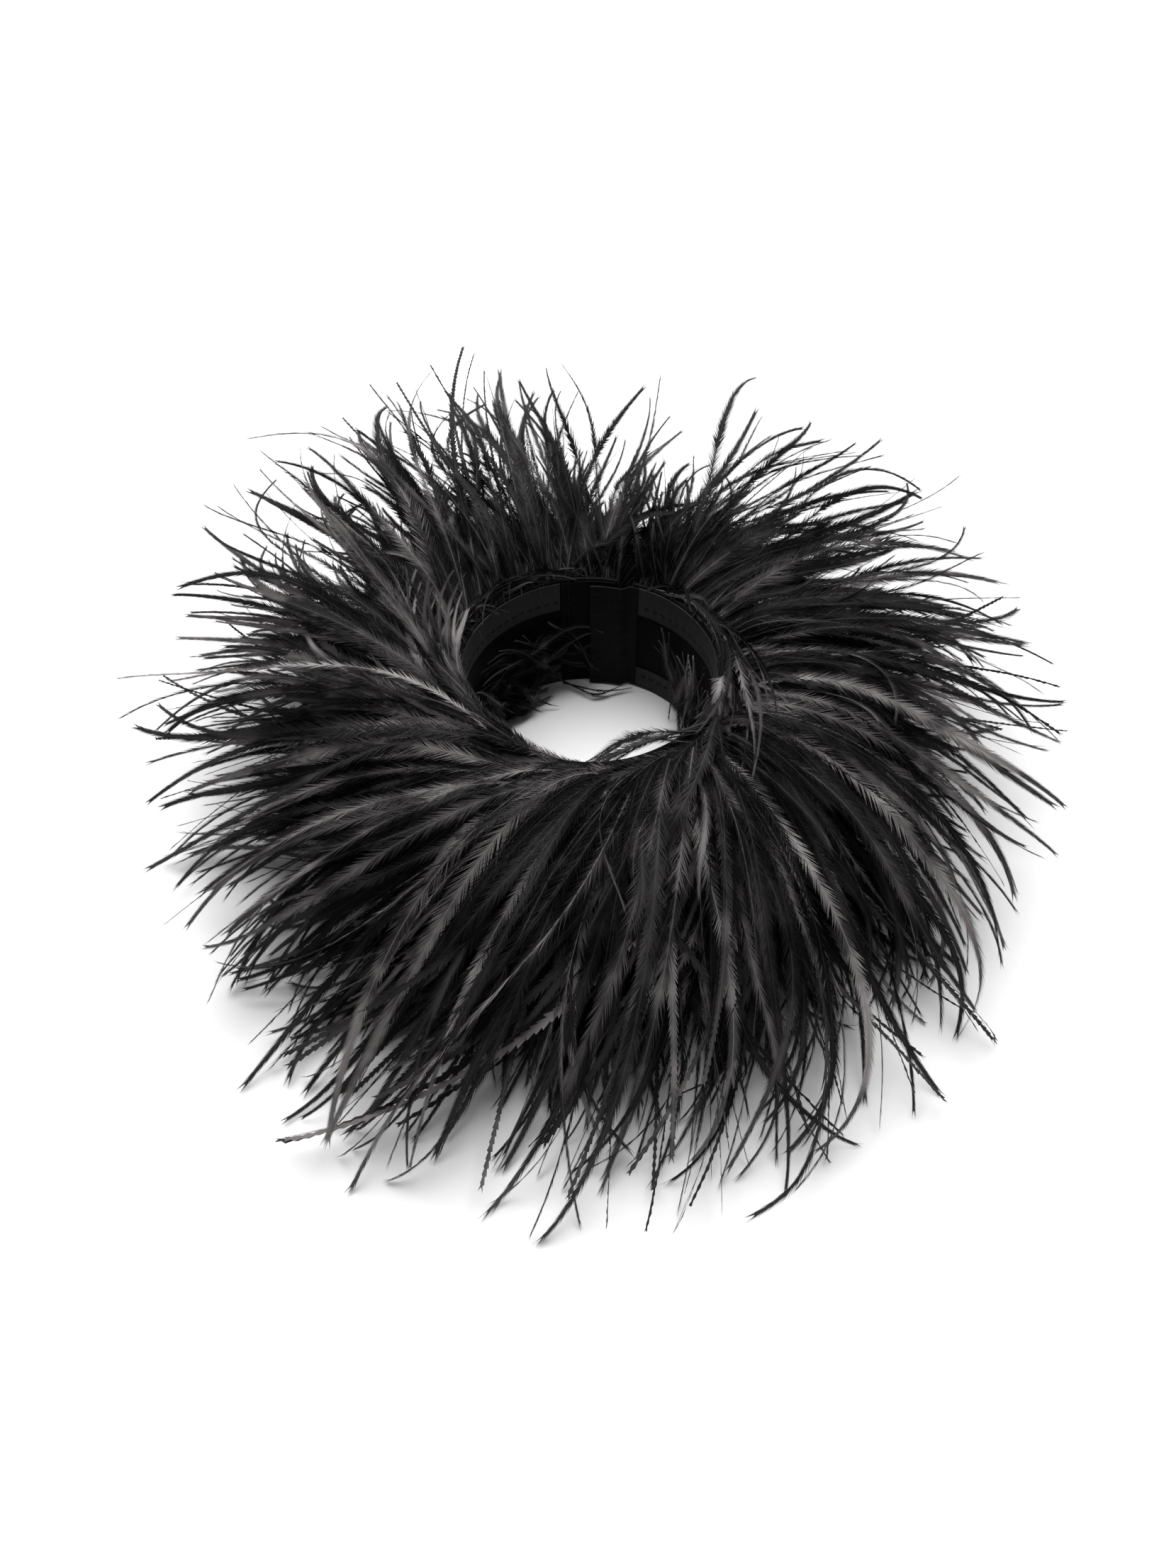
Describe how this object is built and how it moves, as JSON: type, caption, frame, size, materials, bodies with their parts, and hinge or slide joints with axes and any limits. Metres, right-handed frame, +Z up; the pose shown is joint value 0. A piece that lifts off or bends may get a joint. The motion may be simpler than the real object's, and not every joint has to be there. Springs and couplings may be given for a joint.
{
  "type": "feather cuff",
  "caption": "Round wrist or ankle cuff: a woven band with a lapped snap closure and swept rows of black ostrich feather flues.",
  "frame": {"origin": "centre of the wrist opening, on the surface that the band stands on", "axes": "+Z up along the axis of the wrist opening; +Y towards the lapped closure at the back; -Y is the front"},
  "size_m": [0.2376, 0.2563, 0.0567],
  "materials": {
    "feather": "matte",
    "band_cloth": "matte",
    "ribbon": "satin",
    "header_cloth": "matte",
    "snap_metal": "satin"
  },
  "bodies": {
    "cuff": {"band_lining": "band_cloth", "top_tape": "ribbon", "bottom_tape": "ribbon", "left_end_facing": "band_cloth", "stud_ball_lower": "snap_metal", "stud_ball_upper": "snap_metal", "fringe_header_upper": "header_cloth", "fringe_header_middle": "header_cloth", "fringe_header_lower": "header_cloth", "flue_bunch_upper_01": "feather", "flue_bunch_upper_02": "feather", "flue_bunch_upper_03": "feather", "flue_bunch_upper_04": "feather", "flue_bunch_upper_05": "feather", "flue_bunch_upper_06": "feather", "flue_bunch_upper_07": "feather", "flue_bunch_upper_08": "feather", "flue_bunch_upper_09": "feather", "flue_bunch_upper_10": "feather", "flue_bunch_upper_11": "feather", "flue_bunch_upper_12": "feather", "flue_bunch_middle_01": "feather", "flue_bunch_middle_02": "feather", "flue_bunch_middle_03": "feather", "flue_bunch_middle_04": "feather", "flue_bunch_middle_05": "feather", "flue_bunch_middle_06": "feather", "flue_bunch_middle_07": "feather", "flue_bunch_middle_08": "feather", "flue_bunch_middle_09": "feather", "flue_bunch_middle_10": "feather", "flue_bunch_middle_11": "feather", "flue_bunch_middle_12": "feather", "flue_bunch_lower_01": "feather", "flue_bunch_lower_02": "feather", "flue_bunch_lower_03": "feather", "flue_bunch_lower_04": "feather", "flue_bunch_lower_05": "feather", "flue_bunch_lower_06": "feather", "flue_bunch_lower_07": "feather", "flue_bunch_lower_08": "feather", "flue_bunch_lower_09": "feather", "flue_bunch_lower_10": "feather", "flue_bunch_lower_11": "feather", "flue_bunch_lower_12": "feather"},
    "closure_tab": {"closure_tab": "band_cloth", "stud_socket_lower": "snap_metal", "stud_socket_upper": "snap_metal"}
  },
  "joints": [
    {"name": "closure_tab_peel", "type": "hinge", "parent": "cuff", "child": "closure_tab", "pos_m": [0.01138, 0.03342, 0.02], "axis": [0, 0, 1], "range_deg": [0, 75]}
  ]
}
